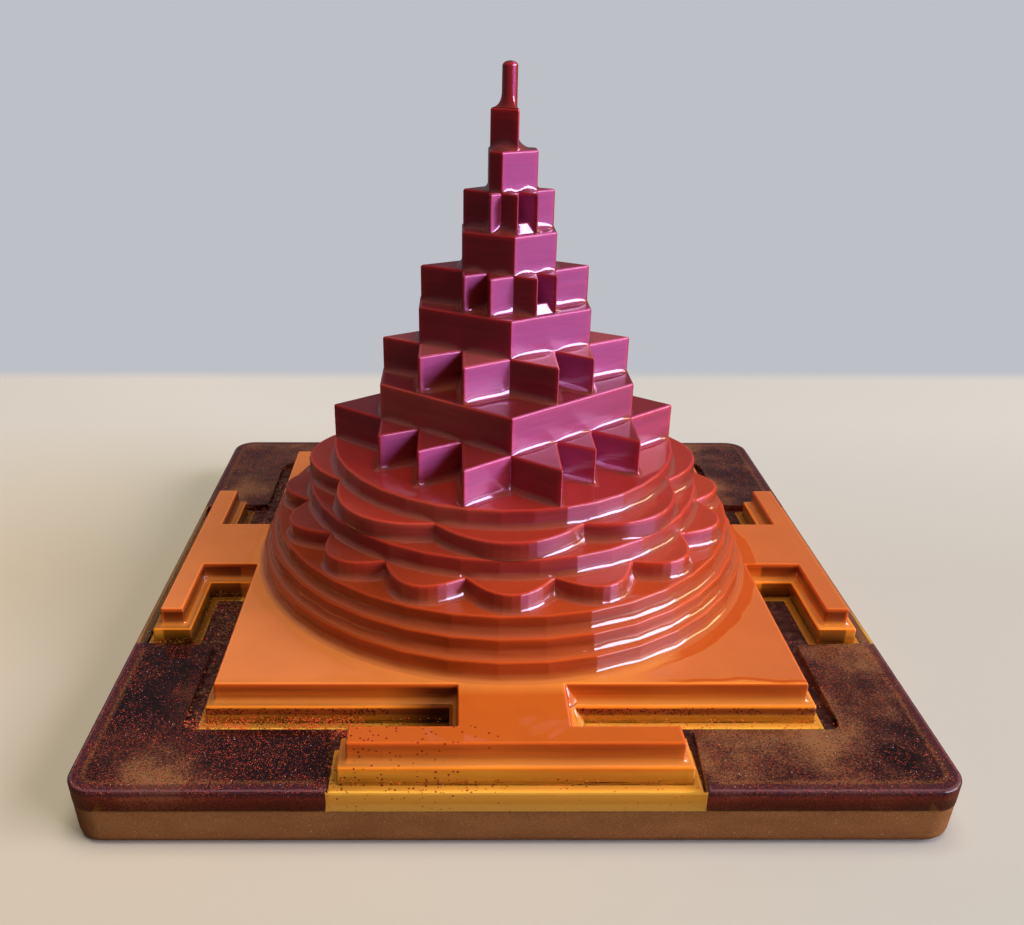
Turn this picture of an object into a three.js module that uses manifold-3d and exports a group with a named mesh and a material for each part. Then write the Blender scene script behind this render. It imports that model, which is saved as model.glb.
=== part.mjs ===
// A Meru Shri Yantra: the nine enclosures of the yantra built up as a stepped mountain, printed in
// plastic that fades from yellow to deep red, and set in a square slab of cast glitter resin.
//
// Millimetres, +Z up. The origin is the middle of the slab's underside. The front is -Y, and the
// axis of the nine triangles runs from left (-X) to right (+X).

import * as THREE from "three";
import { mergeVertices } from "three/addons/utils/BufferGeometryUtils.js";
import Module from "manifold-3d";

// The yantra's circle, which holds the nine triangles, and the round plate under them
const yantraRadius = 48.6;

// The nine triangles. Each has its base on a line across the axis, and its apex on the axis.
// The cross lines are numbered from left to right and given by their place on the axis.
const cross1 = -34.2;
const cross2 = -23.5;
const cross3 = -11.9;
const cross4 = -5.1;
const cross5 = 2.4;
const cross6 = 7.6;
const cross7 = 12.9;
const cross8 = 22.8;
const cross9 = 35.1;

// Half the length of the bases that end in the outer star, and of the innermost base. The two
// largest triangles, on cross lines 3 and 7, have all their corners on the circle instead.
const reach1 = 24.1;
const reach2 = 34.7;
const reach5 = 10.9;
const reach8 = 33.4;
const reach9 = 27.9;

// Two lotuses. The inner one's petals reach the edge of the round plate that they stand on.
const innerPetals = 8;
const outerPetals = 16;
const notchMargin = 0.6; // how far a notch between petals lies outside the plate above
const innerPetalLength = 6.8;
const outerPetalLength = 7.3;
const petalHeight = 5;
const roundPlateHeight = 5;

// Three round tiers
const petalLedge = 1.9; // from the outer petals' tips to the edge of the top ring
const ringStep = 2.3;
const ringHeight = 5;

// Three square tiers with a T-shaped gate on each side. These are the sizes of the top one.
const squareLedge = 1.3; // from the lowest ring to the middle of the square's side
const stemHalf = 13;
const stemLength = 15.4; // from the square to a gate's crossbar
const crossbarDepth = 6.4;
const crossbarHalf = 37.8;
const squareStep = 2; // each lower tier is wider by this much all round
const squareTierHeight = 5;
const lowTierHeight = 3.5; // of the lowest tier, as far as it stands out of the gold resin

// Cast resin slab
const castWall = 2.5; // resin in front of the lowest gate, at the slab's top edge
const slabLean = 0.6; // how far each side leans in between the top edge and the underside
const slabCornerRadius = 7;
const slabFootRadius = 2.5; // rounding of the bottom edge
const goldDepth = 10;
const purpleDepth = 5.5;
const castGap = 0.3; // between the purple resin and the print that it was poured round

// Upper tiers
const starHeight = 10;
const plateHeight = 10;
const triangleHeight = 10;

// The bindu, a rounded pin on the top tier
const binduRadius = 2;
const binduHeight = 11;
const binduCapHeight = 1.2;
const binduFlare = 0.4; // how much wider its foot is than its stem
const binduFlareHeight = 2.5;

// Fineness of the round shapes
const circleSteps = 96;
const cornerSteps = 8;
const footSteps = 4;
const outerPetalSteps = 8;
const innerPetalSteps = 16;
const binduSteps = 24;

const wasm = await Module();
wasm.setup();

// Sizes that follow from the ones above, from the middle outwards
const innerNotchRadius = yantraRadius + notchMargin;
const innerPetalRadius = innerNotchRadius + innerPetalLength;
const outerPlateRadius = innerPetalRadius;
const outerNotchRadius = outerPlateRadius + notchMargin;
const outerPetalRadius = outerNotchRadius + outerPetalLength;
const topRingRadius = outerPetalRadius + petalLedge;
const squareHalf = topRingRadius + 2 * ringStep + squareLedge;
const gateInner = squareHalf + stemLength;
const gateOuter = gateInner + crossbarDepth;
const slabHalf = gateOuter + 2 * squareStep + castWall;
const goldTop = goldDepth;
const slabTop = goldDepth + purpleDepth;

// General helpers

function material(color, roughness, metalness = 0) {
  return new THREE.MeshStandardMaterial({ color, roughness, metalness });
}

function extrude(outline, bottom, height) {
  const shape = new THREE.Shape(outline);
  const geometry = new THREE.ExtrudeGeometry(shape, { depth: height, bevelEnabled: false });
  geometry.translate(0, 0, bottom);
  return geometry;
}

// A closed skin through outlines that have the same number of points, from the lowest up
function loft(rings) {
  const count = rings[0].outline.length;
  const corners = [];
  const faces = [];
  for (const ring of rings) {
    for (const point of ring.outline) corners.push(point.x, point.y, ring.z);
  }
  for (let level = 0; level + 1 < rings.length; level += 1) {
    for (let i = 0; i < count; i += 1) {
      const next = (i + 1) % count;
      const low = level * count;
      const high = low + count;
      faces.push(low + i, low + next, high + next);
      faces.push(low + i, high + next, high + i);
    }
  }
  const last = (rings.length - 1) * count;
  for (const [a, b, c] of THREE.ShapeUtils.triangulateShape([...rings[0].outline], [])) {
    faces.push(c, b, a);
  }
  for (const [a, b, c] of THREE.ShapeUtils.triangulateShape([...rings.at(-1).outline], [])) {
    faces.push(last + a, last + b, last + c);
  }
  const geometry = new THREE.BufferGeometry();
  geometry.setAttribute("position", new THREE.Float32BufferAttribute(corners, 3));
  geometry.setIndex(faces);
  return geometry;
}

function toSolid(geometry) {
  const bare = geometry.clone();
  bare.deleteAttribute("normal");
  bare.deleteAttribute("uv");
  const merged = mergeVertices(bare, 1e-4);
  return new wasm.Manifold(
    new wasm.Mesh({
      numProp: 3,
      vertProperties: new Float32Array(merged.attributes.position.array),
      triVerts: new Uint32Array(merged.index.array),
    }),
  );
}

function toGeometry(solid) {
  const mesh = solid.getMesh();
  const geometry = new THREE.BufferGeometry();
  geometry.setAttribute("position", new THREE.BufferAttribute(mesh.vertProperties, 3));
  geometry.setIndex(new THREE.BufferAttribute(mesh.triVerts, 1));
  return geometry;
}

// Mirrors the front half of an outline, given from left to right, to the back of the axis
function mirrored(frontHalf) {
  const offAxis = frontHalf.filter((point) => point.y !== 0);
  const back = offAxis.map((point) => new THREE.Vector2(point.x, -point.y));
  return [...frontHalf, ...back.reverse()];
}

// The slab

function roundedSquare(half, radius) {
  const outline = [];
  for (let quarter = 0; quarter < 4; quarter += 1) {
    const middle = new THREE.Vector2(half - radius, half - radius);
    for (let step = 0; step <= cornerSteps; step += 1) {
      const angle = (step / cornerSteps) * (Math.PI / 2);
      const point = new THREE.Vector2(radius, 0).rotateAround(new THREE.Vector2(), angle).add(middle);
      outline.push(point.rotateAround(new THREE.Vector2(), quarter * (Math.PI / 2)));
    }
  }
  return outline;
}

function slabRing(z, inset = 0) {
  const half = slabHalf - (slabLean * (slabTop - z)) / slabTop - inset;
  return { outline: roundedSquare(half, slabCornerRadius - inset), z };
}

function goldLayer() {
  const rings = [];
  for (let step = 0; step <= footSteps; step += 1) {
    const angle = (step / footSteps) * (Math.PI / 2);
    const height = slabFootRadius * (1 - Math.cos(angle));
    rings.push(slabRing(height, slabFootRadius * (1 - Math.sin(angle))));
  }
  rings.push(slabRing(goldTop));
  return loft(rings);
}

function purpleLayer() {
  const layer = toSolid(loft([slabRing(goldTop), slabRing(slabTop)]));
  const lowTierTop = goldTop + lowTierHeight + castGap;
  const lowTier = extrude(gateOutline(2 * squareStep + castGap), goldTop - 1, lowTierTop - goldTop + 1);
  const middleTier = extrude(gateOutline(squareStep + castGap), goldTop, purpleDepth + 1);
  return toGeometry(layer.subtract(toSolid(lowTier)).subtract(toSolid(middleTier)));
}

// The square tiers: a square with a stem and a crossbar in the middle of each side
function gateOutline(wider) {
  const square = squareHalf + wider;
  const stem = stemHalf + wider;
  const inner = gateInner - wider;
  const outer = gateOuter + wider;
  const bar = crossbarHalf + wider;
  const rightSide = [
    [square, -square],
    [square, -stem],
    [inner, -stem],
    [inner, -bar],
    [outer, -bar],
    [outer, bar],
    [inner, bar],
    [inner, stem],
    [square, stem],
  ];
  const outline = [];
  for (let side = 0; side < 4; side += 1) {
    for (const [x, y] of rightSide) {
      outline.push(new THREE.Vector2(x, y).rotateAround(new THREE.Vector2(), side * (Math.PI / 2)));
    }
  }
  return outline;
}

// The round tiers and the lotuses

function circle(radius) {
  const outline = [];
  for (let step = 0; step < circleSteps; step += 1) {
    const angle = (step / circleSteps) * 2 * Math.PI;
    outline.push(new THREE.Vector2(Math.cos(angle), Math.sin(angle)).multiplyScalar(radius));
  }
  return outline;
}

// Petals that swell from the notches between them as a cosine does, one facing the front
function lotus(petals, notchRadius, petalRadius, stepsPerPetal) {
  const outline = [];
  const steps = petals * stepsPerPetal;
  const firstNotch = -Math.PI / 2 - Math.PI / petals;
  for (let step = 0; step < steps; step += 1) {
    const acrossPetal = (step % stepsPerPetal) / stepsPerPetal;
    const radius = notchRadius + (petalRadius - notchRadius) * Math.sin(Math.PI * acrossPetal);
    const angle = firstNotch + (step / steps) * 2 * Math.PI;
    outline.push(new THREE.Vector2(Math.cos(angle), Math.sin(angle)).multiplyScalar(radius));
  }
  return outline;
}

// The nine triangles. The slanting side of each is a line that leaves the axis at the apex.
function slant(apex, base, reach) {
  const slope = reach / Math.abs(base - apex);
  return { apex, slope, at: (x) => slope * Math.abs(x - apex) };
}

const reach3 = Math.sqrt(yantraRadius ** 2 - cross3 ** 2);
const reach7 = Math.sqrt(yantraRadius ** 2 - cross7 ** 2);

const slant7 = slant(-yantraRadius, cross7, reach7);
const slant3 = slant(yantraRadius, cross3, reach3);
const slant8 = slant(cross1, cross8, reach8);
const slant2 = slant(cross9, cross2, reach2);
const slant1 = slant(cross7, cross1, reach1);
const slant9 = slant(cross4, cross9, reach9);
const slant5 = slant(cross3, cross5, reach5);
const slant6 = slant(cross2, cross6, slant2.at(cross6));
const slant4 = slant(cross8, cross4, slant8.at(cross4));

// Where a slanting side from the left meets one from the right, in front of the axis
function meeting(left, right) {
  const x = (left.slope * left.apex + right.slope * right.apex) / (left.slope + right.slope);
  return new THREE.Vector2(x, -left.at(x));
}

// One ring of points. Each tip is a cross line and how far it reaches, and the notches between
// the tips lie on the two long slanting sides, which also bound the plate above.
function ringOfPoints(left, right, leftTips, rightTips) {
  const star = [new THREE.Vector2(left.apex, 0)];
  for (const [x, reach] of leftTips) {
    star.push(new THREE.Vector2(x, -left.at(x)), new THREE.Vector2(x, -reach));
  }
  star.push(meeting(left, right));
  for (const [x, reach] of rightTips) {
    star.push(new THREE.Vector2(x, -reach), new THREE.Vector2(x, -right.at(x)));
  }
  star.push(new THREE.Vector2(right.apex, 0));
  const leftEnd = leftTips[0][0];
  const rightEnd = rightTips.at(-1)[0];
  const plate = [
    new THREE.Vector2(leftEnd, -left.at(leftEnd)),
    meeting(left, right),
    new THREE.Vector2(rightEnd, -right.at(rightEnd)),
  ];
  return { star: mirrored(star), plate: mirrored(plate) };
}

function tipsOn(line, crossLines) {
  return crossLines.map((x) => [x, line.at(x)]);
}

const fourteen = ringOfPoints(
  slant7,
  slant3,
  [[cross1, reach1], [cross2, reach2], [cross3, reach3]],
  [[cross7, reach7], [cross8, reach8], [cross9, reach9]],
);
const outerTen = ringOfPoints(
  slant8,
  slant2,
  tipsOn(slant7, [cross2, cross3]),
  tipsOn(slant3, [cross7, cross8]),
);
const innerTen = ringOfPoints(
  slant6,
  slant4,
  tipsOn(slant8, [cross3, cross4]),
  tipsOn(slant2, [cross6, cross7]),
);
const eight = ringOfPoints(
  slant5,
  slant1,
  tipsOn(slant6, [cross4]),
  [[cross5, reach5], ...tipsOn(slant4, [cross6])],
);

function centralTriangle() {
  return mirrored([new THREE.Vector2(cross4, 0), new THREE.Vector2(cross5, -slant9.at(cross5))]);
}

// The bindu's profile, from the middle of its foot to the top of its rounded cap
function bindu(bottom) {
  const shoulder = binduHeight - binduCapHeight;
  const profile = [new THREE.Vector2(0, 0)];
  for (let step = 0; step <= footSteps; step += 1) {
    const up = step / footSteps;
    profile.push(new THREE.Vector2(binduRadius + binduFlare * (1 - up) ** 2, binduFlareHeight * up));
  }
  for (let step = 0; step <= cornerSteps; step += 1) {
    const angle = (step / cornerSteps) * (Math.PI / 2);
    const radius = step < cornerSteps ? binduRadius * Math.cos(angle) : 0;
    profile.push(new THREE.Vector2(radius, shoulder + binduCapHeight * Math.sin(angle)));
  }
  const geometry = new THREE.LatheGeometry(profile, binduSteps);
  geometry.rotateX(Math.PI / 2);
  geometry.translate(0, 0, bottom);
  return geometry;
}

// Putting it together

const yantra = new THREE.Group();

function add(name, geometry, finish) {
  const mesh = new THREE.Mesh(geometry, finish);
  mesh.name = name;
  yantra.add(mesh);
}

add("resin_base_gold", goldLayer(), material(0x85592c, 0.3, 0.3));
add("resin_base_purple", purpleLayer(), material(0x4a2730, 0.08));

// The print, storey by storey from the gold layer up. Its plastic fades from yellow to deep red.
const printed = [
  ["bhupura_tier_lower", gateOutline(2 * squareStep), lowTierHeight, 0xd9a03a],
  ["bhupura_tier_middle", gateOutline(squareStep), squareTierHeight, 0xd98a34],
  ["bhupura_tier_upper", gateOutline(0), squareTierHeight, 0xd47431],
  ["circle_tier_lower", circle(topRingRadius + 2 * ringStep), ringHeight, 0xc9642c],
  ["circle_tier_middle", circle(topRingRadius + ringStep), ringHeight, 0xc25a29],
  ["circle_tier_upper", circle(topRingRadius), ringHeight, 0xbc5128],
  [
    "lotus_sixteen_petals",
    lotus(outerPetals, outerNotchRadius, outerPetalRadius, outerPetalSteps),
    petalHeight,
    0xb74927,
  ],
  ["round_plate_lower", circle(outerPlateRadius), roundPlateHeight, 0xb04128],
  [
    "lotus_eight_petals",
    lotus(innerPetals, innerNotchRadius, innerPetalRadius, innerPetalSteps),
    petalHeight,
    0xab3929,
  ],
  ["round_plate_upper", circle(yantraRadius), roundPlateHeight, 0xa6322a],
  ["star_fourteen_points", fourteen.star, starHeight, 0xa12d2b],
  ["star_plate_first", fourteen.plate, plateHeight, 0x9e2a2c],
  ["star_ten_points_outer", outerTen.star, starHeight, 0x9b282c],
  ["star_plate_second", outerTen.plate, plateHeight, 0x99262c],
  ["star_ten_points_inner", innerTen.star, starHeight, 0x97252c],
  ["star_plate_third", innerTen.plate, plateHeight, 0x95242c],
  ["star_eight_points", eight.star, starHeight, 0x93232c],
  ["star_plate_fourth", eight.plate, plateHeight, 0x91222c],
  ["central_triangle", centralTriangle(), triangleHeight, 0x90222c],
];

let level = goldTop;
for (const [name, outline, height, color] of printed) {
  add(name, extrude(outline, level, height), material(color, 0.15));
  level += height;
}
add("bindu", bindu(level), material(0x8f212c, 0.15));

export default yantra;
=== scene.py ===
"""Dresses the Meru Shri Yantra: a layered print that fades from yellow to deep red, under a clear
glossy coat, set in a square slab of cast glitter resin.

Lengths below are in millimetres unless a name says otherwise, and go to Blender in metres.
"""

import math

import bmesh
import bpy
from mathutils import Matrix, Vector, noise


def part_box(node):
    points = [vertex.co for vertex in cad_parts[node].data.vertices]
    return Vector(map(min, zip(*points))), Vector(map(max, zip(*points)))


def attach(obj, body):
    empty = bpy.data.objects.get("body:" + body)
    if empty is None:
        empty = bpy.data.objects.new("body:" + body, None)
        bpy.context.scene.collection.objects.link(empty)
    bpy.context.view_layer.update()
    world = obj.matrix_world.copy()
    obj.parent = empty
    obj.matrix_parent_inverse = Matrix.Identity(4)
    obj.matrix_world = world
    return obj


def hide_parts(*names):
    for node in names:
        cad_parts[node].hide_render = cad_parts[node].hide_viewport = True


MM = 0.001

# The photograph's frame and the camera fitted to it, with its angles in degrees
PHOTO_WIDTH = 1024
SENSOR_WIDTH = 36.0
FOCAL_PIXELS = 1008.7
CAMERA_PLACE = (-13.2, -271.5, 169.0)
CAMERA_YAW = 0.365
CAMERA_PITCH = 24.573
CAMERA_ROLL = 0.223
AXIS_LEFT_PIXELS = 49.3  # how far the lens axis lies left of the picture's middle
AXIS_DOWN_PIXELS = 16.8

# Rounding of the coated print
CORNER_RADIUS = 0.55  # of an outer upright edge
NOTCH_RADIUS = 0.35  # of an inner upright edge
EDGE_RADIUS = 0.6  # of the top edge
EDGE_MARGIN = 0.3  # flat strip kept inside the top edge
WALL_GAP = 0.9  # from there down to the last ring of the plain wall
BEND_CUT = 0.25  # how far from a bend its rounding begins
SINK = 0.03  # how deep a foot reaches into the storey below
CORNER_STEPS = 4
EDGE_STEPS = 5
FOOT_STEPS = 7
BEND = math.radians(6)  # a turn of an outline that shows as an edge
SHARP_TURN = math.radians(25)  # and one that shows as a corner
FIRST_BEND = math.radians(7.3)  # where the first bend of a round storey lies
STRIP_LENGTH = 1.4  # longest stretch of a wall between two columns of points
POOL_REACH = 3.0  # how far a pool spreads along the walls from an inner corner

DEEP_RED = "print_deep_red"

# Each storey: node, slot, foot width, foot height, and how much higher the foot climbs in a notch
STOREYS = (
    ("bhupura_tier_lower", "print_yellow", 0.0, 0.0, 0.0),
    ("bhupura_tier_middle", "print_amber", 0.0, 0.0, 0.0),
    ("bhupura_tier_upper", "print_orange", 1.3, 1.4, 0.5),
    ("circle_tier_lower", "print_rust", 2.2, 1.6, 0.0),
    ("circle_tier_middle", "print_rust", 2.3, 2.5, 0.0),
    ("circle_tier_upper", "print_rust", 1.8, 2.2, 0.0),
    ("lotus_sixteen_petals", "print_brick", 1.5, 1.6, 0.7),
    ("round_plate_lower", "print_brick", 1.6, 1.5, 0.0),
    ("lotus_eight_petals", "print_red", 1.5, 1.6, 0.7),
    ("round_plate_upper", "print_red", 1.6, 1.5, 0.0),
    ("star_fourteen_points", DEEP_RED, 1.6, 1.7, 0.4),
    ("star_plate_first", DEEP_RED, 1.5, 1.5, 0.0),
    ("star_ten_points_outer", DEEP_RED, 1.8, 1.9, 0.4),
    ("star_plate_second", DEEP_RED, 1.6, 1.6, 0.0),
    ("star_ten_points_inner", DEEP_RED, 1.7, 1.8, 0.4),
    ("star_plate_third", DEEP_RED, 1.7, 1.7, 0.0),
    ("star_eight_points", DEEP_RED, 1.8, 2.0, 0.4),
    ("star_plate_fourth", DEEP_RED, 2.2, 2.0, 0.0),
    ("central_triangle", DEEP_RED, 5.0, 3.6, 0.0),
)

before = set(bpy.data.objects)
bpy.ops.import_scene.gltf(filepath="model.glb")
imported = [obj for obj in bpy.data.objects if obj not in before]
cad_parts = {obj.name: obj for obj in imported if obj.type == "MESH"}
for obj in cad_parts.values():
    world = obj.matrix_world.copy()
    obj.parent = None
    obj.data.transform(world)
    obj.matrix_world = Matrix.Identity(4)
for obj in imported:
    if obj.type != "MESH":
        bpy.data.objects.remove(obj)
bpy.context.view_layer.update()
scene = bpy.context.scene


# Plane outlines, as lists of (x, y) in millimetres, anticlockwise


def top_outline(node):
    """The outline of a node's top face."""
    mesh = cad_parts[node].data
    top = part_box(node)[1].z
    level = {}
    for vertex in mesh.vertices:
        x, y, z = vertex.co
        if abs(z - top) < 1e-5:
            level[vertex.index] = (round(x / MM, 3), round(y / MM, 3))
    mesh.calc_loop_triangles()
    after = {}
    for triangle in mesh.loop_triangles:
        corners = [level.get(i) for i in triangle.vertices]
        if None in corners:
            continue
        for a, b in zip(corners, corners[1:] + corners[:1]):
            if a in after.get(b, ()):
                after[b].discard(a)
            else:
                after.setdefault(a, set()).add(b)
    follow = {a: next(iter(b)) for a, b in after.items() if b}
    start = min(follow)
    loop = [start]
    while follow[loop[-1]] != start:
        loop.append(follow[loop[-1]])
    return loop if area(loop) > 0 else loop[::-1]


def at_radius(point, radius):
    share = radius / math.hypot(*point)
    return (point[0] * share, point[1] * share)


def at_level(points, z):
    return [(x, y, z) for x, y in points]


def area(loop):
    return sum(a[0] * b[1] - b[0] * a[1] for a, b in zip(loop, loop[1:] + loop[:1])) / 2


def trios(loop):
    """Each member of a closed loop between the one before it and the one after it."""
    return zip(loop[-1:] + loop, loop, loop[1:] + loop[:1])


def without_straight_points(loop):
    return [trio[1] for trio in trios(loop) if abs(turn(*trio)) > math.radians(0.2)]


def turn(before, here, after):
    ax, ay = here[0] - before[0], here[1] - before[1]
    bx, by = after[0] - here[0], after[1] - here[1]
    return math.atan2(ax * by - ay * bx, ax * bx + ay * by)


def rays(count, first=0.0):
    """Directions at equal angles, as (cosine, sine)."""
    angles = [first + 2 * math.pi * k / count for k in range(count)]
    return [(math.cos(a), math.sin(a)) for a in angles]


def circle(radius, steps=36):
    """The print's circles are polygons, whose sides show in the reflections."""
    return [(radius * c, radius * s) for c, s in rays(steps, FIRST_BEND)]


def lotus(petals, notch, tip, steps):
    """Petals that swell between two notches as half a sine wave does, one facing the front."""
    loop = []
    for step, (c, s) in enumerate(rays(petals * steps, -math.pi / 2 - math.pi / petals)):
        radius = notch + (tip - notch) * math.sin(math.pi * (step % steps) / steps)
        loop.append((radius * c, radius * s))
    return loop


def between(a, b, share):
    return a[0] + (b[0] - a[0]) * share, a[1] + (b[1] - a[1]) * share


def cross(a, b):
    return a.x * b.y - a.y * b.x


def moved(points, distance):
    """An open run of points, moved to its right by the distance."""
    ways = [(b - a).normalized() for a, b in zip(points, points[1:])]
    normals = [Vector((way.y, -way.x)) for way in ways]
    result = [points[0] + normals[0] * distance]
    for i in range(1, len(points) - 1):
        n = normals[i - 1] + normals[i]
        result.append(points[i] + n * (2 * distance / max(0.2, n.length_squared)))
    result.append(points[-1] + normals[-1] * distance)
    return result


def trimmed(points, corner, bisector, tangent):
    """Cuts or lengthens the start of a run so that it begins on the corner's bisector."""
    sign = 1 if cross(bisector, tangent) > 0 else -1
    side = [sign * cross(bisector, p - corner) for p in points]
    first = 0
    while first < len(points) - 2 and side[first] <= 0:
        first += 1
    i, j = max(first - 1, 0), max(first, 1)
    share = side[i] / (side[i] - side[j]) if abs(side[i] - side[j]) > 1e-9 else 0.0
    return [points[i] + (points[j] - points[i]) * share] + points[j:]


def run_length(points):
    return sum((b - a).length for a, b in zip(points, points[1:]))


def along_run(points, distance):
    for a, b in zip(points, points[1:]):
        step = (b - a).length
        if distance <= step:
            return a + (b - a) * (distance / step if step else 0.0)
        distance -= step
    return points[-1]


class Outline:
    """A closed outline with corners. Its rings, moved in or out, have equal numbers of points."""

    def __init__(self, loop, longest=STRIP_LENGTH):
        loop = [Vector(p) for p in loop]
        count = len(loop)
        turns = [turn(*trio) for trio in trios(loop)]
        corners = [i for i in range(count) if abs(turns[i]) > BEND]
        self.outer = [turns[i] > 0 for i in corners]
        self.sharp = [abs(turns[i]) > SHARP_TURN for i in corners]
        self.runs = []
        for i, j in zip(corners, corners[1:] + corners[:1]):
            last = j if j > i else j + count
            self.runs.append([loop[k % count] for k in range(i, last + 1)])
        self.parts = [max(2, math.ceil(run_length(run) / longest)) for run in self.runs]

    def ring(self, distance, outer_radius=0.02, inner_radius=0.02):
        count = len(self.runs)
        runs = [moved(run, distance) for run in self.runs]
        for k in range(count):
            before, after = self.runs[k - 1], self.runs[k]
            a, b = (before[-1] - before[-2]).normalized(), (after[1] - after[0]).normalized()
            bisector = Vector((a.y + b.y, -a.x - b.x)).normalized()
            runs[k - 1] = trimmed(runs[k - 1][::-1], after[0], bisector, -a)[::-1]
            runs[k] = trimmed(runs[k], after[0], bisector, b)
        cuts = []
        for k in range(count):
            before, after = runs[k - 1][::-1], runs[k]
            opening = (before[1] - before[0]).angle(after[1] - after[0])
            radius = outer_radius if self.outer[k] else inner_radius
            most = 0.45 * min(run_length(before), run_length(after))
            cut = radius / math.tan(opening / 2) if self.sharp[k] else BEND_CUT
            cuts.append(max(1e-4, min(cut, most)))
        result = []
        for k in range(count):
            corner, run, length = runs[k][0], runs[k], run_length(runs[k])
            start, end = along_run(runs[k - 1][::-1], cuts[k]), along_run(run, cuts[k])
            for step in range(CORNER_STEPS + 1):
                t = step / CORNER_STEPS
                result.append(start * (1 - t) ** 2 + corner * (2 * t * (1 - t)) + end * t * t)
            last = length - cuts[(k + 1) % count]
            for part in range(1, self.parts[k]):
                result.append(along_run(run, cuts[k] + (last - cuts[k]) * part / self.parts[k]))
        return [(p.x, p.y) for p in result]

    def on_outer_corner(self):
        """1 for each point of a ring that lies on the arc of an outer corner, else 0."""
        result = []
        for outer, sharp, parts in zip(self.outer, self.sharp, self.parts):
            result += [float(outer and sharp)] * (CORNER_STEPS + 1) + [0.0] * (parts - 1)
        return result

    def notch_closeness(self):
        """For each point of a ring: 1 at an inner corner, falling to 0 at POOL_REACH along it."""
        result = []
        count = len(self.runs)
        for k in range(count):
            here, after = (self.sharp[i] and not self.outer[i] for i in (k, (k + 1) % count))
            result += [float(here)] * (CORNER_STEPS + 1)
            length = run_length(self.runs[k])
            for part in range(1, self.parts[k]):
                gone = length * part / self.parts[k]
                near = min(gone if here else math.inf, length - gone if after else math.inf)
                result.append(max(0.0, 1 - near / POOL_REACH) ** 2)
        return result


def distance_inside(point, loop):
    """How far inside the outline a point lies, or below 0 outside it."""
    x, y = point
    nearest, inside = math.inf, False
    for (ax, ay), (bx, by) in zip(loop, loop[1:] + loop[:1]):
        dx, dy = bx - ax, by - ay
        along = max(0.0, min(1.0, ((x - ax) * dx + (y - ay) * dy) / (dx * dx + dy * dy)))
        nearest = min(nearest, math.hypot(x - ax - along * dx, y - ay - along * dy))
        if (ay > y) != (by > y) and x < ax + (y - ay) * dx / dy:
            inside = not inside
    return nearest if inside else -nearest


# Meshes


def in_scene(name, data):
    obj = bpy.data.objects.new(name, data)
    scene.collection.objects.link(obj)
    return obj


def new_object(name, vertices, faces, material, smooth=True):
    mesh = bpy.data.meshes.new(name)
    mesh.from_pydata([(x * MM, y * MM, z * MM) for x, y, z in vertices], [], faces)
    mesh.materials.append(material)
    mesh.polygons.foreach_set("use_smooth", [smooth] * len(mesh.polygons))
    return in_scene(name, mesh)


def bands(rings, closed=False):
    """The points of rings with equal counts, and the faces between each ring and the next."""
    count = len(rings[0])
    faces = []
    for level in range(len(rings) if closed else len(rings) - 1):
        low, high = level * count, (level + 1) % len(rings) * count
        for i in range(count):
            after = (i + 1) % count
            faces.append((low + i, low + after, high + after, high + i))
    return [point for ring in rings for point in ring], faces


def loft(name, rings, materials, attributes=None, kinds=()):
    """A closed skin through rings of (x, y, z) with equal counts, from the lowest up.

    kinds holds the number of each band's material, where there is more than one.
    """
    count = len(rings[0])
    vertices, faces = bands(rings)
    faces.append(tuple(range(count))[::-1])
    faces.append(tuple(range(len(vertices) - count, len(vertices))))
    obj = new_object(name, vertices, faces, materials[0])
    for other in materials[1:]:
        obj.data.materials.append(other)
    if kinds:
        every = [kind for kind in kinds for _ in range(count)] + [kinds[0], kinds[-1]]
        obj.data.polygons.foreach_set("material_index", every)
    for title, values in (attributes or {}).items():
        layer = obj.data.attributes.new(title, "FLOAT", "POINT")
        layer.data.foreach_set("value", [v for ring in values for v in ring])
    normals = obj.modifiers.new("flats", "WEIGHTED_NORMAL")
    normals.mode = "FACE_AREA_WITH_ANGLE"
    normals.weight = 80
    return obj


def rounding(radius, steps, first=0):
    """Steps round an edge, as (distance in, distance down), from its lower end to its upper one."""
    for step in range(first, steps + 1):
        angle = step / steps * math.pi / 2
        yield radius * (1 - math.cos(angle)), radius * (1 - math.sin(angle))


def extent(node):
    """A node's lowest and highest level, and how far it reaches to the right."""
    low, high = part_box(node)
    return low.z / MM, high.z / MM, high.x / MM


def foot_reach(inner, outer, below):
    """How far each point of the foot may run out before it leaves the storey below, as shares."""
    if below is None:
        return [1.0] * len(inner)
    shares = []
    for a, b in zip(inner, outer):
        share = 1.0
        while share > 0.02:
            if distance_inside(between(a, b, share), below) > EDGE_RADIUS * 0.9:
                break
            share -= 0.07
        shares.append(max(0.0, share))
    for _ in range(2):
        shares = [min(trio[1], sum(trio) / 3) for trio in trios(shares)]
    return shares


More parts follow.
